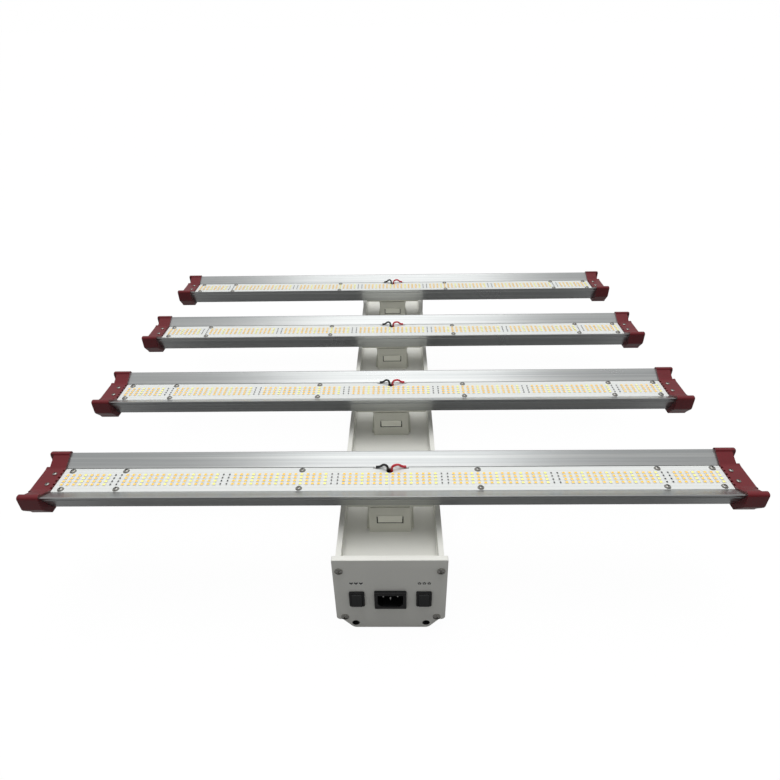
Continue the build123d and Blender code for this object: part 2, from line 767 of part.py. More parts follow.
with BuildPart() as inlet:
    with BuildSketch(inlet_plane):
        RectangleRounded(*INLET_BEZEL, INLET_BEZEL_CORNER)
    extrude(amount=INLET_BEZEL_DEPTH)
    chamfer(inlet.faces().sort_by(Axis.Y)[0].edges(), 0.6)
    with BuildSketch(inlet_plane):
        Rectangle(*INLET_BODY)
    extrude(amount=-INLET_BODY_DEPTH)
    with BuildSketch(inlet_plane.offset(INLET_BEZEL_DEPTH)):
        add(socket_outline())
        make_face()
    extrude(amount=-SOCKET_DEPTH, mode=Mode.SUBTRACT)
    with BuildSketch(inlet_plane):
        with Locations(*pin_places):
            Rectangle(PIN_WIDTH, PIN_HEIGHT)
    extrude(amount=-2 * INLET_BODY_DEPTH, mode=Mode.SUBTRACT)

with BuildPart() as inlet_pins:
    with BuildSketch(inlet_plane.offset(INLET_BEZEL_DEPTH - PIN_RECESS)):
        with Locations(*pin_places):
            Rectangle(PIN_WIDTH, PIN_HEIGHT)
    extrude(amount=-(INLET_BODY_DEPTH + INLET_BEZEL_DEPTH - PIN_RECESS + PIN_TAIL))

keep("inlet_body", inlet.part)
keep("inlet_pins", inlet_pins.part)

# ---- rocker switches ----


def switch_frame(x):
    """Bezel and body of one switch, with the well that its rocker tips in."""
    face = Plane(origin=(x, front_face, switch_z), x_dir=(1, 0, 0), z_dir=(0, -1, 0))
    across = Plane(
        origin=(x, front_face + ROCKER_PIVOT_DEPTH, switch_z), x_dir=(0, 1, 0), z_dir=(1, 0, 0)
    )
    with BuildPart() as frame:
        with BuildSketch(face):
            RectangleRounded(*SWITCH_BEZEL, 1.5)
        extrude(amount=SWITCH_BEZEL_DEPTH)
        chamfer(frame.faces().sort_by(Axis.Y)[0].edges(), 0.5)
        with BuildSketch(face):
            Rectangle(*SWITCH_BODY)
        extrude(amount=-SWITCH_BODY_DEPTH)
        with BuildSketch(face.offset(SWITCH_BEZEL_DEPTH)):
            Rectangle(*SWITCH_WELL)
        extrude(amount=-SWITCH_BEZEL_DEPTH - SWITCH_WELL_DEPTH, mode=Mode.SUBTRACT)
        with BuildSketch(across):
            Circle(ROCKER_PIN_RADIUS + PIN_FIT)
        extrude(
            amount=SWITCH_WELL[0] / 2 + ROCKER_PIN_REACH, both=True, mode=Mode.SUBTRACT
        )
        with BuildSketch(face.offset(-SWITCH_BODY_DEPTH)):
            with Locations((0, SWITCH_BODY[1] / 4), (0, -SWITCH_BODY[1] / 4)):
                Rectangle(4.8, 0.8)
        extrude(amount=-SWITCH_TAIL)
    return frame.part


def rocker(x):
    """The rocker, tipped so that its upper half is pressed in and its lower half stands out."""
    tilt = math.radians(ROCKER_TILT)
    reach = SWITCH_WELL[1] / 2 - ROCKER_END_GAP
    width = SWITCH_WELL[0] - 2 * ROCKER_SIDE_GAP
    side_view = Plane(
        origin=(x, front_face + ROCKER_PIVOT_DEPTH, switch_z),
        x_dir=(0, math.sin(tilt), math.cos(tilt)),
        z_dir=(1, 0, 0),
    )
    wing = ROCKER_VALLEY + reach * math.tan(tilt)
    with BuildPart() as key:
        with BuildSketch(side_view):
            Circle(reach)
            with BuildLine():
                Polyline(
                    (-reach, -ROCKER_KEEL),
                    (reach, -ROCKER_KEEL),
                    (reach, wing),
                    (0, ROCKER_VALLEY),
                    (-reach, wing),
                    close=True,
                )
            make_face(mode=Mode.INTERSECT)
        extrude(amount=width / 2, both=True)
        with BuildSketch(side_view):
            Circle(ROCKER_PIN_RADIUS)
        extrude(amount=width / 2 + ROCKER_SIDE_GAP + ROCKER_PIN_REACH - 0.2, both=True)
    return key.part


for side_name, x in zip(("left", "right"), switch_places):
    keep(f"{side_name}_switch_frame", switch_frame(x))
    keep(f"{side_name}_rocker", rocker(x))

# ---- screws of the housing ----

mounting_screw = cross_head_screw(SMALL_SCREW, 7.0)
flange_screw_spots = []
for y in bar_places:
    for sx, sy in flange_screw_places:
        flange_screw_spots.append(Location((sx, y + sy, flange_bottom), (180, 0, 0)))
    for sx, sy in bracket_screw_places:
        flange_screw_spots.append(Location((sx, y + sy, cover_bottom), (180, 0, 0)))
keep("bracket_screws", screw_group(mounting_screw, flange_screw_spots))

driver_screw = cross_head_screw(SMALL_SCREW, 5.0)
driver_foot_top = floor_level + DRIVER_FOOT_THICKNESS
driver_spots = [Location((x, y, driver_foot_top)) for x, y in driver_screw_places]
keep("driver_screws", screw_group(driver_screw, driver_spots))

plate_screw = cross_head_screw(PLATE_SCREW, 16.0)
plate_spots = [Location((x, front_face, z), (90, 0, 0)) for x, z in plate_screw_places]
plate_spots += [Location((x, -front_face, z), (-90, 0, 0)) for x, z in plate_screw_places]
keep("plate_screws", screw_group(plate_screw, plate_spots))

# ---- drivers, connectors and leads inside the housing ----

with BuildPart() as drivers:
    for middle in driver_places:
        with BuildSketch(Plane.XY.offset(floor_level)):
            with Locations((0, middle)):
                Rectangle(DRIVER_WIDTH, DRIVER_LENGTH)
        extrude(amount=DRIVER_HEIGHT)
        with BuildSketch(Plane.XY.offset(floor_level)):
            with Locations((0, middle)):
                Rectangle(DRIVER_WIDTH, DRIVER_LENGTH + 2 * DRIVER_FOOT)
            with Locations(*driver_screw_places):
                Circle(small_hole, mode=Mode.SUBTRACT)
        extrude(amount=DRIVER_FOOT_THICKNESS)

with BuildPart() as connectors:
    with BuildSketch(Plane.XY.offset(driver_top)):
        with Locations(*[(0, y + WIRE_HOLE_Y) for y in bar_places]):
            RectangleRounded(CONNECTOR_SIZE[0], CONNECTOR_SIZE[1], 1.5)
    extrude(amount=CONNECTOR_SIZE[2])

keep("led_drivers", drivers.part)
keep("wire_connectors", connectors.part)

# leads run from the inlet's and the switches' tails to the first driver
driver_front = driver_places[0] - DRIVER_LENGTH / 2
link_from = driver_places[0] + DRIVER_LENGTH / 2
pin_end = front_face + INLET_BODY_DEPTH + PIN_TAIL
switch_end = front_face + SWITCH_BODY_DEPTH + SWITCH_TAIL
link_height = (floor_level + driver_top) / 2

with BuildPart() as leads:
    with BuildSketch(Plane.XZ.offset(-pin_end)):
        with Locations(*[(INLET_X + px, inlet_z + pz) for px, pz in pin_places]):
            Circle(LEAD_DIAMETER / 2)
    extrude(amount=pin_end - driver_front)
    with BuildSketch(Plane.XZ.offset(-switch_end)):
        for x in switch_places:
            with Locations((x, switch_z + SWITCH_BODY[1] / 4), (x, switch_z - SWITCH_BODY[1] / 4)):
                Circle(LEAD_DIAMETER / 2)
    extrude(amount=switch_end - driver_front)

link = tube(
    [
        (8.0, link_from, link_height),
        (8.5, link_from + 24.0, link_height),
        (5.0, link_from + 52.0, link_height - 3.0),
        (7.0, link_from + 76.0, link_height + 0.5),
        (7.0, -link_from, link_height + 0.5),
    ],
    LINK_DIAMETER,
)
with BuildPart() as mains_leads:
    add(leads.part)
    add(link)
keep("mains_leads", mains_leads.part)
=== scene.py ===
"""Finishes and studio for the four-bar LED grow light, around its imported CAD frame."""

import math

import bmesh
import bpy
from mathutils import Matrix, Vector


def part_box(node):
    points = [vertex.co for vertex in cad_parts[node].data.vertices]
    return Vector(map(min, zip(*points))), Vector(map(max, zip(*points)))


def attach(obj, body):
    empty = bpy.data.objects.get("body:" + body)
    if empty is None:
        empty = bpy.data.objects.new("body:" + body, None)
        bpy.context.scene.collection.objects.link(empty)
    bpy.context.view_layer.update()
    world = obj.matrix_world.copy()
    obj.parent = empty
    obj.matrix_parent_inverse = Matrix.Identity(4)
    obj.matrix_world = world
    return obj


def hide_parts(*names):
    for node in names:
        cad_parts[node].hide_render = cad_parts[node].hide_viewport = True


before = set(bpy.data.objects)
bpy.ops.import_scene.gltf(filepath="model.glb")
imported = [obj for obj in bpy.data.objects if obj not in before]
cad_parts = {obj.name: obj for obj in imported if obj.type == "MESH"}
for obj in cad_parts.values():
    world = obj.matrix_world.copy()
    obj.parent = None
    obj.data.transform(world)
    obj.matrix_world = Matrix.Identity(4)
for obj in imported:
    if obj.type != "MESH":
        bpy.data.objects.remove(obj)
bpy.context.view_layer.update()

bl_info = {
    "name": "LED grow light finishes",
    "version": (1, 0, 0),
    "blender": (4, 5, 0),
    "location": "View3D > Sidebar > Grow light",
    "description": "Builds the finishes, LEDs and studio of a four-bar LED grow light",
    "category": "Object",
}

MM = 0.001
MAIN_BODY = "fixture"
BARS = (1, 2, 3, 4)
SIDES = ("left", "right")
MATERIAL_NAMES = {}


# ---- sizes and colours a user would change ----


def colour(name, description, default):
    """A linear colour property."""
    return bpy.props.FloatVectorProperty(
        name=name,
        description=description,
        subtype="COLOR",
        size=3,
        min=0.0,
        max=1.0,
        default=default,
    )


def length(name, description, millimetres):
    """A length property, given in millimetres."""
    return bpy.props.FloatProperty(
        name=name,
        description=description,
        subtype="DISTANCE",
        unit="LENGTH",
        default=millimetres * MM,
    )


class GrowLightColours(bpy.types.PropertyGroup):
    """Colours of the light's finishes."""

    aluminium: colour("Aluminium", "Satin anodised bars", (0.62, 0.635, 0.63))
    board: colour("LED board", "White solder mask", (0.76, 0.78, 0.765))
    amber: colour("Warm phosphor", "Warm white LEDs", (1.00, 0.62, 0.08))
    lemon: colour("Cool phosphor", "Cool white LEDs", (0.98, 0.93, 0.25))
    cap: colour("End cap", "Red moulded end caps", (0.155, 0.0032, 0.009))
    coat: colour("Powder coat", "White coat of the housing", (0.84, 0.84, 0.79))
    bracket: colour("Bracket", "Beige moulded brackets", (0.68, 0.68, 0.60))
    red_wire: colour("Positive wire", "Red insulation", (0.62, 0.035, 0.055))


class GrowLightSizes(bpy.types.PropertyGroup):
    """Sizes of the small parts and edges that this script makes."""

    led_pitch: length("LED pitch", "Spacing of the LED columns", 6.0)
    row_pitch: length("Row pitch", "Spacing of the LED rows", 4.5)
    led_size: length("LED size", "Side of one LED package", 3.0)
    led_height: length("LED height", "Height of one LED package", 0.68)
    led_well: length("LED well", "Depth of the phosphor below the package's rim", 0.10)
    resistor_length: length("Resistor length", "Length of one resistor", 2.6)
    resistor_width: length("Resistor width", "Width of one resistor", 1.3)
    small_head: length("Small screw head", "Head diameter of the board and bracket screws", 5.5)
    cap_head: length("Cap screw head", "Head diameter of the end cap screws", 4.4)
    large_head: length("Large screw head", "Head diameter of the end plate screws", 7.8)
    edge: length("Edge radius", "Radius on moulded and coated edges", 0.5)


# ---- materials ----


class Nodes:
    """A short way to write one material's node tree."""

    def __init__(self, name):
        old = bpy.data.materials.get(name)
        if old:
            bpy.data.materials.remove(old)
        self.material = bpy.data.materials.new(name)
        self.material.use_nodes = True
        self.tree = self.material.node_tree
        self.shader = self.tree.nodes["Principled BSDF"]

    def add(self, kind, settings=None, **inputs):
        """A node with these settings and input values or links."""
        node = self.tree.nodes.new(kind)
        for key, value in (settings or {}).items():
            setattr(node, key, value)
        for key, value in inputs.items():
            self.put(node, key.replace("_", " "), value)
        return node

    def put(self, node, socket, value):
        """Set one input, by a value or by a link from another node's output."""
        target = node.inputs[int(socket) if socket.isdigit() else socket]
        if isinstance(value, bpy.types.NodeSocket):
            self.tree.links.new(value, target)
        else:
            target.default_value = value

    def look(self, **inputs):
        """Set the shader's own inputs."""
        for key, value in inputs.items():
            self.put(self.shader, key.replace("_", " "), value)

    def place(self, scale):
        """Object coordinates, stretched by this scale."""
        where = self.add("ShaderNodeTexCoord")
        turn = self.add("ShaderNodeMapping", Scale=scale)
        self.tree.links.new(where.outputs["Object"], turn.inputs["Vector"])
        return turn.outputs["Vector"]

    def noise(self, scale, detail=3.0, stretch=(1.0, 1.0, 1.0), roughness=0.5):
        """Noise over the object, as its factor output."""
        node = self.add(
            "ShaderNodeTexNoise",
            Vector=self.place(stretch),
            Scale=scale,
            Detail=detail,
            Roughness=roughness,
        )
        return node.outputs[0]

    def math(self, operation, first, second=0.0):
        """One arithmetic step."""
        inputs = {"0": first, "1": second}
        return self.add("ShaderNodeMath", {"operation": operation}, **inputs).outputs[0]

    def ramp(self, factor, low, high, start=0.0, end=1.0):
        """A factor mapped to colours between two stops."""
        node = self.add("ShaderNodeValToRGB", Fac=factor)
        stops = node.color_ramp.elements
        stops[0].position = start
        stops[1].position = end
        stops[0].color = (*low, 1.0)
        stops[1].color = (*high, 1.0)
        return node.outputs["Color"]

    def span(self, factor, low, high):
        """A factor mapped to numbers from low to high."""
        node = self.add("ShaderNodeMapRange", Value=factor, To_Min=low, To_Max=high)
        return node.outputs["Result"]

    def bump(self, height, strength, distance, under=None):
        """Surface relief from a height."""
        node = self.add("ShaderNodeBump", Height=height, Strength=strength, Distance=distance)
        if under:
            self.tree.links.new(under, node.inputs["Normal"])
        return node.outputs["Normal"]


def shade(base, factor):
    """A colour made lighter or darker."""
    return tuple(min(1.0, channel * factor) for channel in base)


def anodised_aluminium(base):
    """Satin anodised extrusion: fine die lines along its length and faint cloudy patches."""
    m = Nodes("anodised_aluminium")
    lines = m.noise(1.0, 4.0, (4.0, 2600.0, 2600.0), 0.7)
    broad = m.noise(1.0, 2.0, (1.5, 330.0, 330.0))
    clouds = m.noise(9.0, 3.0)
    tone = m.add("ShaderNodeMix", {"data_type": "RGBA", "blend_type": "MULTIPLY"})
    m.put(tone, "0", 1.0)
    m.put(tone, "6", m.ramp(lines, shade(base, 0.80), shade(base, 1.10), 0.3, 0.7))
    m.put(tone, "7", m.ramp(broad, (0.84, 0.85, 0.86), (1.0, 1.0, 1.0), 0.35, 0.65))
    m.look(
        Base_Color=tone.outputs[2],
        Metallic=0.95,
        Roughness=m.span(clouds, 0.24, 0.34),
        Normal=m.bump(lines, 0.25, 0.00012, m.bump(broad, 0.3, 0.0001)),
    )
    return m.material


def powder_coat(base):
    """White powder coat with its fine orange peel."""
    m = Nodes("white_powder_coat")
    peel = m.noise(1300.0, 2.0)
    patches = m.noise(14.0, 3.0)
    m.look(
        Base_Color=m.ramp(patches, shade(base, 0.965), base, 0.3, 0.7),
        Roughness=m.span(peel, 0.24, 0.34),
        Normal=m.bump(peel, 0.15, 0.00008),
        IOR=1.5,
    )
    return m.material


def moulded(name, base, rough, grain=900.0, depth=0.00006, dark=0.9, coat=0.0):
    """Moulded plastic with a fine grain and slight flow marks."""
    m = Nodes(name)
    fine = m.noise(grain, 3.0)
    flow = m.noise(30.0, 2.0, (1.0, 3.0, 1.0))
    m.look(
        Base_Color=m.ramp(flow, shade(base, dark), base, 0.3, 0.7),
        Roughness=m.span(fine, rough * 0.88, rough * 1.14),
        Normal=m.bump(fine, 0.25, depth),
        Coat_Weight=coat,
        Coat_Roughness=0.18,
    )
    return m.material


def solder_mask(base):
    """White solder mask over copper: the tracks between the LED rows show as faint steps."""
    m = Nodes("white_solder_mask")
    tracks = m.add(
        "ShaderNodeTexWave",
        {"bands_direction": "Y", "wave_profile": "SIN"},
        Vector=m.place((1.0, 1.0, 1.0)),
        Scale=70.0,
        Distortion=0.0,
    )
    fleck = m.noise(600.0, 2.0)
    mask = m.ramp(tracks.outputs["Fac"], shade(base, 0.955), base, 0.42, 0.5)
    m.look(
        Base_Color=mask,
        Roughness=m.span(fleck, 0.30, 0.40),
        Normal=m.bump(tracks.outputs["Fac"], 0.15, 0.00004, m.bump(fleck, 0.1, 0.00003)),
    )
    return m.material


def phosphor(name, base):
    """Silicone filled with phosphor: a soft, slightly glossy yellow, with a faint painted glow."""
    m = Nodes(name)
    grain = m.noise(2600.0, 2.0)
    m.look(
        Base_Color=m.ramp(grain, shade(base, 0.90), base, 0.35, 0.65),
        Roughness=0.24,
        Subsurface_Weight=0.15,
        Subsurface_Radius=(0.0006, 0.0004, 0.0002),
        # A faint painted glow: the phosphor emits though the LEDs light nothing here.
        Emission_Color=(*base, 1.0),
        Emission_Strength=0.18,
    )
    return m.material


def bright_metal(name, base, rough):
    """Plated metal with fine turning and handling marks."""
    m = Nodes(name)
    marks = m.noise(700.0, 4.0, (1.0, 1.0, 2.5), 0.65)
    m.look(
        Base_Color=m.ramp(marks, shade(base, 0.86), base, 0.3, 0.7),
        Metallic=1.0,
        Roughness=m.span(marks, rough * 0.8, rough * 1.25),
        Normal=m.bump(marks, 0.12, 0.00003),
    )
    return m.material


def insulation(name, base):
    """Soft PVC insulation with a faint extruded ripple."""
    m = Nodes(name)
    ripple = m.noise(420.0, 2.0)
    m.look(
        Base_Color=m.ramp(ripple, shade(base, 0.85), base, 0.3, 0.7),
        Roughness=m.span(ripple, 0.28, 0.38),
        Normal=m.bump(ripple, 0.10, 0.00005),
    )
    return m.material


# The first tone is the painted shadow under the housing, the second the pale paper.
FLOOR_SHADOW_AND_PAPER_TONES = (0.01, 0.24)
FLOOR_GLOW = 1.14
FLOOR_GLOW_SHARE = 0.85
PAINTED_SHADOW_PATCH = (0.0415, 0.2965)
PAINTED_SHADOW_PATCH_EDGE = 0.002


def floor_paper():
    """Pale studio paper that glows as a light table does, with a painted shadow under the housing,
    where it is near black and does not glow.
    """
    m = Nodes("studio_paper")
    where = m.add("ShaderNodeSeparateXYZ", Vector=m.place((1.0, 1.0, 1.0)))
    # clear is 0 inside the painted shadow patch and 1 outside it.
    clear = 0.0
    for axis, reach in enumerate(PAINTED_SHADOW_PATCH):
        edge = m.add(
            "ShaderNodeMapRange",
            Value=m.math("ABSOLUTE", where.outputs[axis]),
            From_Min=reach - PAINTED_SHADOW_PATCH_EDGE,
            From_Max=reach,
        )
        clear = m.math("MAXIMUM", edge.outputs[0], clear)
    fibre = m.span(m.noise(60.0), 0.92, 1.0)
    # dark is the painted shadow tone under the housing.
    dark, pale = ((tone, tone, tone) for tone in FLOOR_SHADOW_AND_PAPER_TONES)
    m.look(Base_Color=m.ramp(m.math("MULTIPLY", fibre, clear), dark, pale), Roughness=0.9)
    glow = m.add("ShaderNodeEmission", Strength=FLOOR_GLOW)
    ray = m.add("ShaderNodeLightPath")
    lit = m.math("MULTIPLY", ray.outputs["Is Camera Ray"], clear)
    share = m.math("MULTIPLY", lit, FLOOR_GLOW_SHARE)
    mixed = {"0": share, "1": m.shader.outputs[0], "2": glow.outputs[0]}
    both = m.add("ShaderNodeMixShader", **mixed)
    m.tree.links.new(both.outputs[0], m.tree.nodes["Material Output"].inputs["Surface"])
    return m.material


BLACK = (0.006, 0.006, 0.007)
ROCKER_BLACK = (0.008, 0.009, 0.010)
WIRE_BLACK = (0.014, 0.014, 0.015)
PRINT_BLACK = (0.035, 0.035, 0.04)
RESISTOR_BLACK = (0.03, 0.03, 0.035)
DRIVER_GREY = (0.16, 0.165, 0.17)
NYLON = (0.72, 0.72, 0.66)
PACKAGE = (0.82, 0.80, 0.74)
TIN = (0.78, 0.78, 0.76)
ZINC = (0.50, 0.49, 0.46)
NICKEL = (0.80, 0.79, 0.76)


def finishes(colours):
    """Every finish of the light, by name."""
    cap = tuple(colours.cap)
    bracket = tuple(colours.bracket)
    return {
        "aluminium": anodised_aluminium(tuple(colours.aluminium)),
        "coat": powder_coat(tuple(colours.coat)),
        "board": solder_mask(tuple(colours.board)),
        "package": moulded("led_package", PACKAGE, 0.4),
        "amber": phosphor("warm_phosphor", tuple(colours.amber)),
        "lemon": phosphor("cool_phosphor", tuple(colours.lemon)),
        "resistor": moulded("resistor_body", RESISTOR_BLACK, 0.45),
        "tin": bright_metal("tinned_ends", TIN, 0.35),
        "cap": moulded(
            "red_end_cap", cap, 0.30, grain=800.0, depth=0.00005, dark=0.85, coat=0.25
        ),
        "bracket": moulded("beige_bracket", bracket, 0.5, grain=1100.0, dark=0.94),
        # The tongue is the bracket's beige made a quarter lighter: painted light on the same
        # plastic.
        "tongue": moulded(
            "lit_beige_tongue", shade(bracket, 1.25), 0.42, grain=1100.0, depth=0.00004, dark=0.96
        ),
        "black": moulded("black_moulding", BLACK, 0.36, grain=1500.0, depth=0.00004),
        "rocker": moulded(
            "black_rocker", ROCKER_BLACK, 0.22, grain=1800.0, depth=0.00002, coat=0.2
        ),
        "screw": bright_metal("zinc_screw", ZINC, 0.26),
        "pin": bright_metal("nickel_pin", NICKEL, 0.22),
        "red_wire": insulation("red_insulation", tuple(colours.red_wire)),
        "black_wire": insulation("black_insulation", WIRE_BLACK),
        "driver": moulded("driver_case", DRIVER_GREY, 0.5),
        "connector": moulded("connector_nylon", NYLON, 0.45),
        "print": moulded("grey_print", PRINT_BLACK, 0.5),
    }


def finish(name):
    """A finish made by the first operator."""
    return bpy.data.materials[MATERIAL_NAMES[name]]


# ---- mesh helpers ----

SAME_POINT = 0.002 * MM
FLAT_ANGLE = math.radians(1.0)


def dress(node, name):
    """Give a CAD node this finish."""
    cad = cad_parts[node]
    cad.data.materials.clear()
    cad.data.materials.append(finish(name))


def new_piece(name, mesh, body, materials=()):
    """Link a mesh as a finished piece that rides on a body."""
    piece = bpy.data.objects.new(name, mesh)
    bpy.context.scene.collection.objects.link(piece)
    for key in materials:
        mesh.materials.append(finish(key))
    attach(piece, body)
    return piece


def softened(node, name, body, material, radius, segments=2, angle=30.0):
    """A piece with the CAD node's shape and rounded edges, which stands for that node."""
    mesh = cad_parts[node].data.copy()
    mesh.name = name
    mesh.materials.clear()
    work = bmesh.new()
    work.from_mesh(mesh)
    bmesh.ops.remove_doubles(work, verts=work.verts, dist=SAME_POINT)
    bmesh.ops.dissolve_limit(
        work, angle_limit=FLAT_ANGLE, verts=work.verts, edges=work.edges, delimit={"NORMAL"}
    )
    work.to_mesh(mesh)
    work.free()
    mesh.normals_split_custom_set([(0.0, 0.0, 0.0)] * len(mesh.loops))
    mesh.shade_smooth()
    mesh.set_sharp_from_angle(angle=math.radians(angle))
    piece = new_piece(name, mesh, body, (material,))
    if radius > 0.0:
        bevel = piece.modifiers.new("rounded_edges", "BEVEL")
        bevel.width = radius
        bevel.segments = segments
        bevel.limit_method = "ANGLE"
        bevel.angle_limit = math.radians(angle)
        bevel.use_clamp_overlap = True
        bevel.harden_normals = True
    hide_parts(node)
    return piece


def paint_shade_black(mesh, inside):
    """Paint shade black on the faces whose middles pass a test."""
    # The painted shade borrows the black moulding finish; there is no black part here.
    mesh.materials.append(finish("black"))
    for face in mesh.polygons:
        if inside(face.center):
            face.material_index = 1


def middle(node):
    """The middle of a CAD node's box."""
    low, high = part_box(node)
    return (low + high) / 2


# ---- operators: one for each piece or group of like pieces ----


class GrowLightOperator:
    """What all the operators here share."""

    bl_options = {"REGISTER", "UNDO"}


class GROWLIGHT_OT_finishes(GrowLightOperator, bpy.types.Operator):
    """Make every finish of the light"""

    bl_idname = "growlight.finishes"
    bl_label = "Finishes"

    def execute(self, context):
        for key, material in finishes(context.scene.grow_light_colours).items():
            MATERIAL_NAMES[key] = material.name
        return {"FINISHED"}


class GROWLIGHT_OT_bars(GrowLightOperator, bpy.types.Operator):
    """Give the extruded bars their anodised finish"""

    bl_idname = "growlight.bars"
    bl_label = "Bars"

    def execute(self, context):
        for bar in BARS:
            dress(f"bar_{bar}_heatsink", "aluminium")
            dress(f"bar_{bar}_led_boards", "board")
        return {"FINISHED"}


class GROWLIGHT_OT_end_caps(GrowLightOperator, bpy.types.Operator):
    """Red end caps with rounded edges"""

    bl_idname = "growlight.end_caps"
    bl_label = "End caps"

    def execute(self, context):
        edge = context.scene.grow_light_sizes.edge
        for bar in BARS:
            for side in SIDES:
                node = f"bar_{bar}_{side}_cap"
                name = f"{node}_moulding"
                softened(node, name, MAIN_BODY, "cap", 1.2 * edge, segments=3)
        return {"FINISHED"}


def shade_slot(mesh, tongue):
    """Paint shade black on the walls of the slot and of the hollow that show round a tongue."""
    low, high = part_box(tongue)
    wide = (high.x - low.x) / 2
    depth = high.y - low.y

    def inside(spot):
        level = low.z - depth < spot.z < high.z + depth
        return level and abs(spot.x) < wide and low.y + 0.2 * depth < spot.y

    paint_shade_black(mesh, inside)


class GROWLIGHT_OT_brackets(GrowLightOperator, bpy.types.Operator):
    """Beige brackets and their snap tongues"""

    bl_idname = "growlight.brackets"
    bl_label = "Brackets"

    def execute(self, context):
        edge = context.scene.grow_light_sizes.edge
        for bar in BARS:
            node = f"bar_{bar}_bracket"
            shell = softened(
                node, f"{node}_moulding", MAIN_BODY, "bracket", 0.6 * edge
            )
            node = f"bar_{bar}_snap_tongue"
            # Painted shade on the slot walls round the tongue.
            shade_slot(shell.data, node)
            body = f"snap_tongue_{bar}"
            softened(node, f"{node}_moulding", body, "tongue", 0.5 * edge)
        return {"FINISHED"}


HOLE_SPAN_X = (30.5 * MM, 40.0 * MM)
HOLE_SPAN_Z = (3.0 * MM, 13.0 * MM)


def shade_hanging_holes(mesh, plate):
    """Paint shade black on the walls of the hanging holes in the two lower corners of an end plate.
    """
    low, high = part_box(plate)
    skin = 0.1 * (high.y - low.y)

    def inside(spot):
        across = HOLE_SPAN_X[0] < abs(spot.x) < HOLE_SPAN_X[1]
        level = HOLE_SPAN_Z[0] < spot.z < HOLE_SPAN_Z[1]
        return across and level and low.y + skin < spot.y < high.y - skin

    paint_shade_black(mesh, inside)


class GROWLIGHT_OT_housing(GrowLightOperator, bpy.types.Operator):
    """White driver housing, its cover and its end plates"""

    bl_idname = "growlight.housing"
    bl_label = "Housing"

    def execute(self, context):
        edge = context.scene.grow_light_sizes.edge
        for node, radius in (
            ("housing_channel", edge),
            ("housing_cover", 0.4 * edge),
            ("front_plate", 0.6 * edge),
            ("rear_plate", 0.6 * edge),
        ):
            name = f"{node}_coated"
            piece = softened(node, name, MAIN_BODY, "coat", radius)
            if node.endswith("plate"):
                # Painted shade on the walls of the hanging holes.
                shade_hanging_holes(piece.data, node)
        return {"FINISHED"}


class GROWLIGHT_OT_electrics(GrowLightOperator, bpy.types.Operator):
    """Mains inlet, switches, drivers and leads"""

    bl_idname = "growlight.electrics"
    bl_label = "Electrics"

    def execute(self, context):
        edge = context.scene.grow_light_sizes.edge
        softened("inlet_body", "inlet_moulding", MAIN_BODY, "black", 0.5 * edge)
        softened(
            "inlet_pins", "inlet_pins_plated", MAIN_BODY, "pin", 1.6 * edge, segments=4
        )
        for side in SIDES:
            node = f"{side}_switch_frame"
            softened(node, f"{node}_moulding", MAIN_BODY, "black", 0.5 * edge)
            node = f"{side}_rocker"
            softened(node, f"{node}_moulding", node, "rocker", edge, segments=3)
        dress("led_drivers", "driver")
        dress("wire_connectors", "connector")
        dress("mains_leads", "black_wire")
        return {"FINISHED"}


class GROWLIGHT_OT_wires(GrowLightOperator, bpy.types.Operator):
    """Red and black supply wires"""

    bl_idname = "growlight.wires"
    bl_label = "Supply wires"

    def execute(self, context):
        for bar in BARS:
            for tint in ("red", "black"):
                node = f"bar_{bar}_{tint}_wire"
                material = f"{tint}_wire"
                softened(node, f"{node}_sleeve", MAIN_BODY, material, 0.0, angle=60.0)
        return {"FINISHED"}


# ---- LEDs and resistors by geometry nodes ----


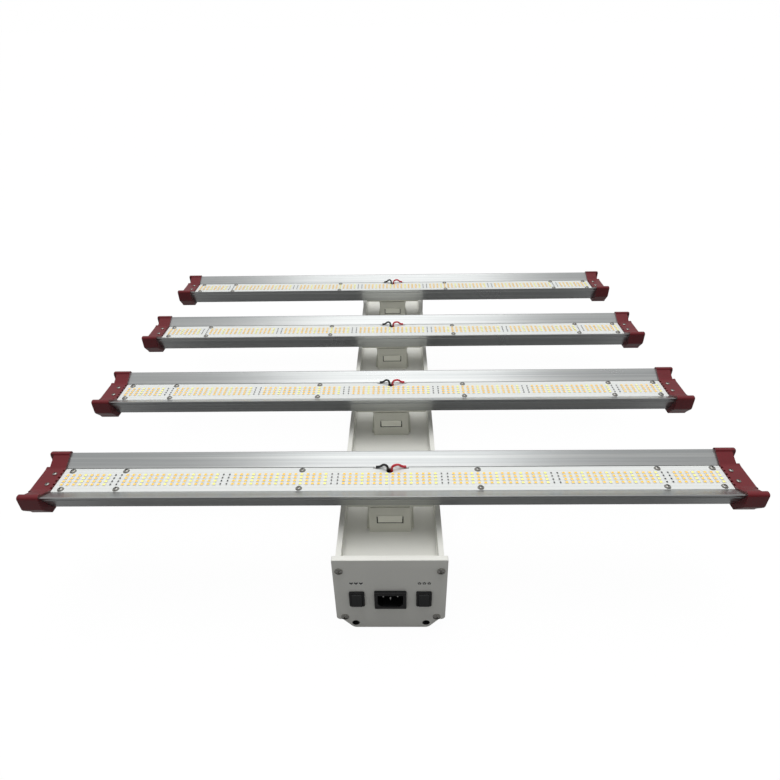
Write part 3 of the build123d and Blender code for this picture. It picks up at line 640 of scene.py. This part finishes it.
class GeometryTree:
    """A short way to write one geometry node tree."""

    def __init__(self, name):
        self.tree = bpy.data.node_groups.new(name, "GeometryNodeTree")
        self.tree.is_modifier = True
        self.pass_geometry("OUTPUT")
        self.entry = self.tree.nodes.new("NodeGroupInput")
        self.exit = self.tree.nodes.new("NodeGroupOutput")
        self.identifiers = {}

    def pass_geometry(self, way):
        """A geometry socket on the tree's outside."""
        self.tree.interface.new_socket("Geometry", in_out=way, socket_type="NodeSocketGeometry")

    def size(self, name, value):
        """A named number that the modifier sets."""
        make = self.tree.interface.new_socket
        socket = make(name, in_out="INPUT", socket_type="NodeSocketFloat")
        socket.default_value = value
        self.identifiers[name] = socket.identifier
        return self.entry.outputs[name]

    def add(self, kind, settings=None, inputs=None):
        """A node with these settings, and inputs by name or number."""
        node = self.tree.nodes.new(kind)
        for key, value in (settings or {}).items():
            setattr(node, key, value)
        for key, value in (inputs or {}).items():
            if isinstance(value, bpy.types.NodeSocket):
                self.tree.links.new(value, node.inputs[key])
            else:
                node.inputs[key].default_value = value
        return node

    def math(self, operation, first, second=0.0, third=0.0):
        """One arithmetic step."""
        node = self.add("ShaderNodeMath", {"operation": operation}, {0: first, 1: second, 2: third})
        return node.outputs[0]

    def vector(self, x, y, z):
        """A vector from three numbers."""
        return self.add("ShaderNodeCombineXYZ", None, {0: x, 1: y, 2: z}).outputs[0]

    def block(self, x, y, z, material):
        """A box of this size standing on z = 0, in one material."""
        cube = self.add("GeometryNodeMeshCube", None, {"Size": self.vector(x, y, z)})
        lifted = self.shift(cube.outputs["Mesh"], 0.0, 0.0, self.math("MULTIPLY", z, 0.5))
        return self.paint(lifted, material)

    def paint(self, geometry, material, selection=None):
        """Give faces a material."""
        inputs = {"Geometry": geometry, "Material": finish(material)}
        if selection is not None:
            inputs["Selection"] = selection
        return self.add("GeometryNodeSetMaterial", None, inputs).outputs[0]

    def shift(self, geometry, x, y, z):
        """Move geometry."""
        inputs = {"Geometry": geometry, "Translation": self.vector(x, y, z)}
        return self.add("GeometryNodeTransform", None, inputs).outputs[0]

    def join(self, *parts):
        """Several geometries as one."""
        node = self.add("GeometryNodeJoinGeometry")
        for part in parts:
            self.tree.links.new(part, node.inputs[0])
        return node.outputs[0]

    def spread(self, points, selection, shape):
        """A copy of shape on each chosen point."""
        inputs = {"Points": points, "Selection": selection, "Instance": shape}
        return self.add("GeometryNodeInstanceOnPoints", None, inputs).outputs[0]

    def close(self, geometry):
        """End the tree with real geometry."""
        solid = self.add("GeometryNodeRealizeInstances", None, {"Geometry": geometry})
        self.tree.links.new(solid.outputs[0], self.exit.inputs[0])


LENS_SHARE = 0.80
RESISTOR_BODY = 0.62
RESISTOR_END = (1.0 - RESISTOR_BODY) / 2
COLUMNS = 108
ROWS = 4
COLUMNS_BETWEEN_RESISTORS = 16
COLUMNS_BEFORE_RESISTORS = 8
RESISTOR_COLUMNS = 2.0
LEMON_EVERY = 4.0


def led_package(tree, size, height, well, lens):
    """One LED: a white package whose top is a shallow well filled with phosphor."""
    box = tree.block(size, size, height, "package")
    normal = tree.add("GeometryNodeInputNormal")
    upward = tree.add("ShaderNodeSeparateXYZ", None, {0: normal.outputs[0]})
    on_top = tree.add(
        "FunctionNodeCompare",
        {"data_type": "FLOAT", "operation": "GREATER_THAN"},
        {0: upward.outputs[2], 1: 0.5},
    )
    rim = tree.add(
        "GeometryNodeExtrudeMesh",
        {"mode": "FACES"},
        {"Mesh": box, "Selection": on_top.outputs[0], "Offset Scale": 0.0, "Individual": True},
    )
    inset = tree.add(
        "GeometryNodeScaleElements",
        None,
        {"Geometry": rim.outputs["Mesh"], "Selection": rim.outputs["Top"], "Scale": LENS_SHARE},
    )
    sunk = tree.add(
        "GeometryNodeExtrudeMesh",
        {"mode": "FACES"},
        {
            "Mesh": inset.outputs[0],
            "Selection": rim.outputs["Top"],
            "Offset Scale": tree.math("MULTIPLY", well, -1.0),
            "Individual": True,
        },
    )
    return tree.paint(sunk.outputs["Mesh"], lens, sunk.outputs["Top"])


def led_field_tree(sizes):
    """LEDs and resistors of one bar, laid out by rule about the bar's middle."""
    tree = GeometryTree("led_field")
    pitch = tree.size("LED Pitch", sizes.led_pitch)
    row_pitch = tree.size("Row Pitch", sizes.row_pitch)
    columns = tree.size("Columns", COLUMNS)
    rows = tree.size("Rows", ROWS)
    side = tree.size("LED Size", sizes.led_size)
    height = tree.size("LED Height", sizes.led_height)
    well = tree.size("LED Well", sizes.led_well)
    long = tree.size("Resistor Length", sizes.resistor_length)
    wide = tree.size("Resistor Width", sizes.resistor_width)
    plain_run = tree.size("Columns Between Resistors", COLUMNS_BETWEEN_RESISTORS)
    first_run = tree.size("Columns Before Resistors", COLUMNS_BEFORE_RESISTORS)
    level = tree.size("Board Level", 0.0)
    place = tree.size("Bar Place", 0.0)

    grid = tree.add(
        "GeometryNodeMeshGrid",
        None,
        {
            "Size X": tree.math("MULTIPLY", pitch, tree.math("SUBTRACT", columns, 1.0)),
            "Size Y": tree.math("MULTIPLY", row_pitch, tree.math("SUBTRACT", rows, 1.0)),
            "Vertices X": columns,
            "Vertices Y": rows,
        },
    )
    where = tree.add("GeometryNodeInputPosition")
    split = tree.add("ShaderNodeSeparateXYZ", None, {0: where.outputs[0]})
    half_field = tree.math("MULTIPLY", columns, 0.5)
    along = tree.math("DIVIDE", split.outputs[0], pitch)
    column = tree.math("FLOOR", tree.math("ADD", along, half_field))
    past_first = tree.math("SUBTRACT", column, first_run)
    repeat = tree.math("ADD", plain_run, RESISTOR_COLUMNS)
    cycle = tree.math("FLOORED_MODULO", past_first, repeat)
    is_resistor = tree.math("LESS_THAN", cycle, RESISTOR_COLUMNS - 0.5)
    fourth = tree.math("FLOORED_MODULO", cycle, LEMON_EVERY)
    is_lemon = tree.math("COMPARE", fourth, 1.0, 0.1)
    is_led = tree.math("SUBTRACT", 1.0, is_resistor)
    lemon_led = tree.math("MULTIPLY", is_led, is_lemon)
    amber_led = tree.math("SUBTRACT", is_led, lemon_led)

    points = tree.add("GeometryNodeMeshToPoints", None, {"Mesh": grid.outputs["Mesh"]})
    body_long = tree.math("MULTIPLY", long, RESISTOR_BODY)
    body = tree.block(wide, body_long, tree.math("MULTIPLY", height, 0.8), "resistor")
    end_wide = tree.math("MULTIPLY", wide, 1.02)
    end_long = tree.math("MULTIPLY", long, RESISTOR_END)
    end = tree.block(end_wide, end_long, tree.math("MULTIPLY", height, 0.84), "tin")
    reach = (1.0 - RESISTOR_END) / 2
    ends = [
        tree.shift(end, 0.0, tree.math("MULTIPLY", long, way * reach), 0.0) for way in (1.0, -1.0)
    ]
    shapes = (
        (amber_led, led_package(tree, side, height, well, "amber")),
        (lemon_led, led_package(tree, side, height, well, "lemon")),
        (is_resistor, tree.join(body, *ends)),
    )
    field = tree.join(*(tree.spread(points.outputs[0], chosen, shape) for chosen, shape in shapes))
    tree.close(tree.shift(field, 0.0, place, level))
    return tree


def baked(name, tree, values, start=None):
    """The plain mesh that a tree makes with these input values."""
    holder = bpy.data.objects.new(name, start or bpy.data.meshes.new(name))
    bpy.context.scene.collection.objects.link(holder)
    modifier = holder.modifiers.new("layout", "NODES")
    modifier.node_group = tree.tree
    for key, value in values.items():
        modifier[tree.identifiers[key]] = value
    bpy.context.view_layer.update()
    graph = bpy.context.evaluated_depsgraph_get()
    mesh = bpy.data.meshes.new_from_object(holder.evaluated_get(graph), depsgraph=graph)
    mesh.name = name
    bpy.data.objects.remove(holder)
    if not mesh.polygons:
        raise RuntimeError(f"{name} came out empty")
    return mesh


class GROWLIGHT_OT_leds(GrowLightOperator, bpy.types.Operator):
    """LEDs and series resistors on all the boards"""

    bl_idname = "growlight.leds"
    bl_label = "LEDs"

    def execute(self, context):
        tree = led_field_tree(context.scene.grow_light_sizes)
        for bar in BARS:
            boards = f"bar_{bar}_led_boards"
            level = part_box(boards)[1].z
            values = {"Board Level": level, "Bar Place": middle(boards).y}
            mesh = baked(f"bar_{bar}_led_field", tree, values)
            piece = new_piece(f"bar_{bar}_led_field", mesh, MAIN_BODY)
            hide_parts(f"bar_{bar}_leds")
        return {"FINISHED"}


# ---- screws by geometry nodes ----

DOME_SHARE = 0.6
RECESS_LONG = 0.56
RECESS_WIDE = 0.14
RECESS_DEEP = 1.4
SCREW_HEIGHTS = {"small": 1.9 * MM, "cap": 1.6 * MM, "large": 2.6 * MM}
SCREW_SHANKS = {"small": 2.8 * MM, "cap": 2.8 * MM, "large": 3.0 * MM}
SCREW_KINDS = {
    **{f"bar_{bar}_board_screws": "small" for bar in BARS},
    **{f"bar_{bar}_cap_screws": "cap" for bar in BARS},
    "bracket_screws": "small",
    "driver_screws": "small",
    "plate_screws": "large",
}


def screw_tree():
    """Cross recess pan head screws on points that carry the way they face."""
    tree = GeometryTree("pan_head_screws")
    tree.pass_geometry("INPUT")
    head = tree.size("Head Diameter", 5.5 * MM)
    height = tree.size("Head Height", SCREW_HEIGHTS["small"])
    shank = tree.size("Shank Diameter", SCREW_SHANKS["small"])
    length = tree.size("Shank Length", 6.0 * MM)

    half = tree.math("MULTIPLY", head, 0.5)
    drop = tree.math("MULTIPLY", height, DOME_SHARE)
    squares = [tree.math("MULTIPLY", side, side) for side in (half, drop)]
    radius = tree.math("DIVIDE", tree.math("ADD", *squares), tree.math("MULTIPLY", drop, 2.0))
    shape = {"Segments": 24, "Rings": 20, "Radius": radius}
    ball = tree.add("GeometryNodeMeshUVSphere", None, shape)
    dome = tree.shift(ball.outputs["Mesh"], 0.0, 0.0, tree.math("SUBTRACT", height, radius))
    shape = {"Vertices": 24, "Radius": half, "Depth": height}
    barrel = tree.add("GeometryNodeMeshCylinder", None, shape)
    drum = tree.shift(barrel.outputs["Mesh"], 0.0, 0.0, tree.math("MULTIPLY", height, 0.5))
    pan = tree.add("GeometryNodeMeshBoolean", {"operation": "INTERSECT"})
    tree.tree.links.new(dome, pan.inputs["Mesh 2"])
    tree.tree.links.new(drum, pan.inputs["Mesh 2"])
    long = tree.math("MULTIPLY", head, RECESS_LONG)
    slim = tree.math("MULTIPLY", head, RECESS_WIDE)
    deep = tree.math("MULTIPLY", height, RECESS_DEEP)
    settings = {"operation": "DIFFERENCE"}
    recess = tree.add("GeometryNodeMeshBoolean", settings, {"Mesh 1": pan.outputs[0]})
    for x, y in ((long, slim), (slim, long)):
        slot = tree.add("GeometryNodeMeshCube", None, {"Size": tree.vector(x, y, deep)})
        sunk = tree.shift(slot.outputs["Mesh"], 0.0, 0.0, height)
        tree.tree.links.new(sunk, recess.inputs["Mesh 2"])
    shape = {"Vertices": 16, "Radius": tree.math("MULTIPLY", shank, 0.5), "Depth": length}
    rod = tree.add("GeometryNodeMeshCylinder", None, shape)
    stem = tree.shift(rod.outputs["Mesh"], 0.0, 0.0, tree.math("MULTIPLY", length, -0.5))
    screw = tree.paint(tree.join(recess.outputs[0], stem), "screw")

    settings = {"data_type": "FLOAT_VECTOR"}
    facing = tree.add("GeometryNodeInputNamedAttribute", settings, {"Name": "facing"})
    way = {"Vector": facing.outputs["Attribute"]}
    stand = tree.add("FunctionNodeAlignRotationToVector", {"axis": "Z"}, way)
    placed = tree.add(
        "GeometryNodeInstanceOnPoints",
        None,
        {
            "Points": tree.entry.outputs["Geometry"],
            "Instance": screw,
            "Rotation": stand.outputs[0],
        },
    )
    draw = {"Max": math.pi, "Seed": 7}
    spin = tree.add("FunctionNodeRandomValue", {"data_type": "FLOAT"}, draw)
    angle = next(out for out in spin.outputs if out.enabled)
    turned = tree.add(
        "GeometryNodeRotateInstances",
        None,
        {"Instances": placed.outputs[0], "Rotation": tree.vector(0.0, 0.0, angle)},
    )
    tree.close(turned.outputs[0])
    return tree


def islands(mesh):
    """The separate solids of a mesh, each as a list of its vertices' places."""
    work = bmesh.new()
    work.from_mesh(mesh)
    bmesh.ops.remove_doubles(work, verts=work.verts, dist=SAME_POINT)
    seen = set()
    groups = []
    for start in work.verts:
        if start in seen:
            continue
        seen.add(start)
        group, queue = [], [start]
        while queue:
            here = queue.pop()
            group.append(here.co.copy())
            for edge in here.link_edges:
                other = edge.other_vert(here)
                if other not in seen:
                    seen.add(other)
                    queue.append(other)
        groups.append(group)
    work.free()
    return groups


def screw_seats(node, height):
    """Where each screw's head sits and the way it faces, read from its CAD solid."""
    seats = []
    for points in islands(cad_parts[node].data):
        low = Vector([min(p[i] for p in points) for i in range(3)])
        high = Vector([max(p[i] for p in points) for i in range(3)])
        axis = max(range(3), key=lambda i: high[i] - low[i])
        centre = (low + high) / 2
        across = (axis + 1) % 3
        reach = {True: 0.0, False: 0.0}
        for point in points:
            far = point[axis] >= centre[axis]
            reach[far] = max(reach[far], abs(point[across] - centre[across]))
        way = 1 if reach[True] > reach[False] else -1
        facing = Vector((0.0, 0.0, 0.0))
        facing[axis] = way
        seat = centre.copy()
        seat[axis] = (high if way > 0 else low)[axis] - way * height
        seats.append((seat, facing, high[axis] - low[axis] - height))
    return seats


class GROWLIGHT_OT_screws(GrowLightOperator, bpy.types.Operator):
    """Every screw, with its recess turned as it happened to stop"""

    bl_idname = "growlight.screws"
    bl_label = "Screws"

    def execute(self, context):
        sizes = context.scene.grow_light_sizes
        tree = screw_tree()
        for node, kind in SCREW_KINDS.items():
            seats = screw_seats(node, SCREW_HEIGHTS[kind])
            points = bpy.data.meshes.new(f"{node}_seats")
            points.from_pydata([seat for seat, _, _ in seats], [], [])
            facing = points.attributes.new("facing", "FLOAT_VECTOR", "POINT")
            for item, (_, way, _) in zip(facing.data, seats):
                item.vector = way
            values = {
                "Head Diameter": getattr(sizes, f"{kind}_head"),
                "Head Height": SCREW_HEIGHTS[kind],
                "Shank Diameter": SCREW_SHANKS[kind],
                "Shank Length": seats[0][2],
            }
            mesh = baked(f"{node}_turned", tree, values, points)
            mesh.shade_smooth()
            mesh.set_sharp_from_angle(angle=math.radians(35.0))
            piece = new_piece(f"{node}_turned", mesh, MAIN_BODY)
            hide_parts(node)
        return {"FINISHED"}


# ---- small printed marks and solder joints ----

MARK_HEIGHT_OVER_SWITCH = 22.2 * MM
MARK_PITCH = 4.6 * MM
MARK_FILM = 0.03 * MM
LEAF = (2.9 * MM, 1.7 * MM)
LEAF_DROP = 0.9 * MM
STEM = (0.7 * MM, 1.3 * MM)
STEM_DROP = 1.35 * MM
PETAL = (1.6 * MM, 1.35 * MM)
PETAL_ROOT = 0.4 * MM
PAD = (5.2 * MM, 2.6 * MM, 0.08 * MM)
BEAD = (1.7 * MM, 1.15 * MM, 1.15 * MM)


def prism(work, outline, level, depth):
    """A thin flat shape on the plane Y = level, standing towards -Y."""
    back = [work.verts.new((x, level, z)) for x, z in outline]
    front = [work.verts.new((x, level - depth, z)) for x, z in outline]
    faces = [work.faces.new(back), work.faces.new(front[::-1])]
    for i in range(len(outline)):
        j = (i + 1) % len(outline)
        faces.append(work.faces.new((back[j], back[i], front[i], front[j])))
    bmesh.ops.recalc_face_normals(work, faces=faces)


def leaf_outline(x, z, long, wide, angle):
    """A pointed leaf from its stem end."""
    steps = 10
    spine = [i / steps for i in range(steps + 1)]
    rim = [(t * long, wide / 2 * math.sin(math.pi * t) ** 0.8) for t in spine]
    rim += [(t * long, -wide / 2 * math.sin(math.pi * t) ** 0.8) for t in reversed(spine[1:-1])]
    cos, sin = math.cos(angle), math.sin(angle)
    return [(x + u * cos - v * sin, z + u * sin + v * cos) for u, v in rim]


def bar_shape(x, z, wide, high):
    """Corners of an upright rectangle about a middle."""
    return [
        (x - wide / 2, z - high / 2),
        (x + wide / 2, z - high / 2),
        (x + wide / 2, z + high / 2),
        (x - wide / 2, z + high / 2),
    ]


def sprout(x, z):
    """Two leaves on a short stem."""
    ways = [math.radians(way) for way in (52.0, 128.0)]
    leaves = [leaf_outline(x, z - LEAF_DROP, *LEAF, way) for way in ways]
    return [*leaves, bar_shape(x, z - STEM_DROP, *STEM)]


def flower(x, z):
    """Five petals round an open middle."""
    petals = []
    for petal in range(5):
        way = math.radians(90.0 + 72.0 * petal)
        root = (x + PETAL_ROOT * math.cos(way), z + PETAL_ROOT * math.sin(way))
        petals.append(leaf_outline(*root, *PETAL, way))
    return petals


class GROWLIGHT_OT_marks(GrowLightOperator, bpy.types.Operator):
    """Plain leaf and flower marks over the two switches"""

    bl_idname = "growlight.marks"
    bl_label = "Marks"

    def execute(self, context):
        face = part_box("front_plate")[0].y
        for side in SIDES:
            place = middle(f"{side}_switch_frame")
            z = place.z + MARK_HEIGHT_OVER_SWITCH
            work = bmesh.new()
            shapes = []
            for column in (-1, 0, 1):
                x = place.x + column * MARK_PITCH
                shapes += sprout(x, z) if side == "left" else flower(x, z)
            for shape in shapes:
                prism(work, shape, face, MARK_FILM)
            mesh = bpy.data.meshes.new(f"{side}_mark")
            work.to_mesh(mesh)
            work.free()
            new_piece(f"{side}_mark", mesh, MAIN_BODY, ("print",))
        return {"FINISHED"}


def fit(work, verts, size, place):
    """Scale a new unit shape's vertices and move them to their place."""
    bmesh.ops.scale(work, vec=size, verts=verts)
    bmesh.ops.translate(work, vec=place, verts=verts)


class GROWLIGHT_OT_solder(GrowLightOperator, bpy.types.Operator):
    """Solder joints where the supply wires meet the boards"""

    bl_idname = "growlight.solder"
    bl_label = "Solder joints"

    def execute(self, context):
        for bar in BARS:
            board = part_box(f"bar_{bar}_led_boards")[1].z
            work = bmesh.new()
            for tint, way in (("black", -1), ("red", 1)):
                low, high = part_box(f"bar_{bar}_{tint}_wire")
                end = low.x if way < 0 else high.x
                y = high.y - 1.5 * MM
                pad = bmesh.ops.create_cube(work, size=1.0)["verts"]
                fit(work, pad, PAD, (end + way * 0.3 * MM, y - 0.2 * MM, board + PAD[2] / 2))
                bead = bmesh.ops.create_icosphere(work, subdivisions=3, radius=1.0)["verts"]
                fit(work, bead, BEAD, (end + way * 0.9 * MM, y, board + 0.25 * MM))
            mesh = bpy.data.meshes.new(f"bar_{bar}_solder")
            work.to_mesh(mesh)
            work.free()
            mesh.shade_smooth()
            mesh.set_sharp_from_angle(angle=math.radians(40.0))
            new_piece(f"bar_{bar}_solder", mesh, MAIN_BODY, ("tin",))
        return {"FINISHED"}


# ---- stage ----

CAMERA_PLACE = (0.00984, -0.65060, 0.51838)
CAMERA_YAW = 1.10
CAMERA_TILT = 56.454
CAMERA_ROLL = -1.03
CAMERA_LENS = 26.226
SENSOR_WIDTH = 36.0
FLOOR_REACH = 30.0
SOFTBOX_PLACE = (0.0, 0.15, 1.75)
SOFTBOX_TARGET = (0.0, 0.0, 0.1)
SOFTBOX_SIZE = (1.0, 1.7)
SOFTBOX_WATTS = 6.5
FILL_STRENGTH = 1.35
FILL_SPREAD = 40.0
FILL_LEAN = -6.0
DOME_AXIS = (0.0, 0.30, 0.95)
DOME_START = -0.3
DOME_LEVELS = (0.08, 0.62)
WHITE = (1.0, 1.0, 1.0, 1.0)


class GROWLIGHT_OT_stage(GrowLightOperator, bpy.types.Operator):
    """Pale floor, soft studio light and the camera"""

    bl_idname = "growlight.stage"
    bl_label = "Stage"

    def execute(self, context):
        scene = context.scene
        paper = bpy.data.meshes.new("floor")
        signs = ((-1, -1), (1, -1), (1, 1), (-1, 1))
        corners = [(x * FLOOR_REACH, y * FLOOR_REACH, 0.0) for x, y in signs]
        paper.from_pydata(corners, [], [(0, 1, 2, 3)])
        floor = bpy.data.objects.new("floor", paper)
        paper.materials.append(floor_paper())
        scene.collection.objects.link(floor)

        scene.world = studio_dome()
        top_softbox()
        overhead_fill()

        camera = bpy.data.objects.new("camera", bpy.data.cameras.new("camera"))
        camera.data.lens = CAMERA_LENS
        camera.data.sensor_width = SENSOR_WIDTH
        camera.location = CAMERA_PLACE
        turn = (
            Matrix.Rotation(math.radians(CAMERA_YAW), 3, "Z")
            @ Matrix.Rotation(math.radians(CAMERA_TILT), 3, "X")
            @ Matrix.Rotation(math.radians(CAMERA_ROLL), 3, "Z")
        )
        camera.rotation_euler = turn.to_euler()
        scene.collection.objects.link(camera)
        scene.camera = camera
        scene.view_settings.view_transform = "Standard"
        return {"FINISHED"}


def studio_dome():
    """A white studio whose light comes mostly from above and behind."""
    world = bpy.data.worlds.new("studio")
    world.use_nodes = True
    tree = world.node_tree
    link = tree.links.new
    where = tree.nodes.new("ShaderNodeTexCoord")
    along = tree.nodes.new("ShaderNodeVectorMath")
    along.operation = "DOT_PRODUCT"
    along.inputs[1].default_value = DOME_AXIS
    level = tree.nodes.new("ShaderNodeMapRange")
    level.inputs["From Min"].default_value = DOME_START
    level.inputs["To Min"].default_value = DOME_LEVELS[0]
    level.inputs["To Max"].default_value = DOME_LEVELS[1]
    dome = tree.nodes["Background"]
    seen = tree.nodes.new("ShaderNodeBackground")
    ray = tree.nodes.new("ShaderNodeLightPath")
    both = tree.nodes.new("ShaderNodeMixShader")
    link(where.outputs["Generated"], along.inputs[0])
    link(along.outputs["Value"], level.inputs["Value"])
    link(level.outputs["Result"], dome.inputs["Strength"])
    dome.inputs["Color"].default_value = WHITE
    seen.inputs["Color"].default_value = WHITE
    link(ray.outputs["Is Camera Ray"], both.inputs[0])
    link(dome.outputs[0], both.inputs[1])
    link(seen.outputs[0], both.inputs[2])
    link(both.outputs[0], tree.nodes["World Output"].inputs["Surface"])
    return world


def overhead_fill():
    """Even light from a large ceiling, left out of the gloss on the metal."""
    lamp = bpy.data.lights.new("overhead_fill", "SUN")
    lamp.energy = FILL_STRENGTH
    lamp.angle = math.radians(FILL_SPREAD)
    holder = bpy.data.objects.new("overhead_fill", lamp)
    holder.rotation_euler = (math.radians(FILL_LEAN), 0.0, 0.0)
    holder.visible_glossy = False
    bpy.context.scene.collection.objects.link(holder)


def top_softbox():
    """A rectangular softbox over the light, aimed down at it."""
    lamp = bpy.data.lights.new("top_softbox", "AREA")
    lamp.shape = "RECTANGLE"
    lamp.size, lamp.size_y = SOFTBOX_SIZE
    lamp.energy = SOFTBOX_WATTS
    holder = bpy.data.objects.new("top_softbox", lamp)
    holder.location = SOFTBOX_PLACE
    aim = Vector(SOFTBOX_TARGET) - Vector(SOFTBOX_PLACE)
    holder.rotation_euler = aim.to_track_quat("-Z", "Y").to_euler()
    bpy.context.scene.collection.objects.link(holder)


# ---- panel and registration ----

STEPS = (
    GROWLIGHT_OT_finishes,
    GROWLIGHT_OT_stage,
    GROWLIGHT_OT_bars,
    GROWLIGHT_OT_leds,
    GROWLIGHT_OT_screws,
    GROWLIGHT_OT_end_caps,
    GROWLIGHT_OT_brackets,
    GROWLIGHT_OT_housing,
    GROWLIGHT_OT_electrics,
    GROWLIGHT_OT_wires,
    GROWLIGHT_OT_solder,
    GROWLIGHT_OT_marks,
)


class GROWLIGHT_PT_panel(bpy.types.Panel):
    """Lists the sizes, colours and steps"""

    bl_idname = "GROWLIGHT_PT_panel"
    bl_label = "Grow light"
    bl_space_type = "VIEW_3D"
    bl_region_type = "UI"
    bl_category = "Grow light"

    def draw(self, context):
        for group in (context.scene.grow_light_sizes, context.scene.grow_light_colours):
            for name in group.__annotations__:
                self.layout.prop(group, name)
        for step in STEPS:
            self.layout.operator(step.bl_idname)


CLASSES = (GrowLightColours, GrowLightSizes, *STEPS, GROWLIGHT_PT_panel)


def register():
    """Register every class and the scene's two groups of settings."""
    for item in CLASSES:
        bpy.utils.register_class(item)
    bpy.types.Scene.grow_light_colours = bpy.props.PointerProperty(type=GrowLightColours)
    bpy.types.Scene.grow_light_sizes = bpy.props.PointerProperty(type=GrowLightSizes)


def unregister():
    """Take the classes and settings away again."""
    del bpy.types.Scene.grow_light_sizes
    del bpy.types.Scene.grow_light_colours
    for item in reversed(CLASSES):
        bpy.utils.unregister_class(item)


def main():
    """Build everything."""
    register()
    for step in STEPS:
        family, name = step.bl_idname.split(".")
        getattr(getattr(bpy.ops, family), name)()


if __name__ == "__main__":
    main()
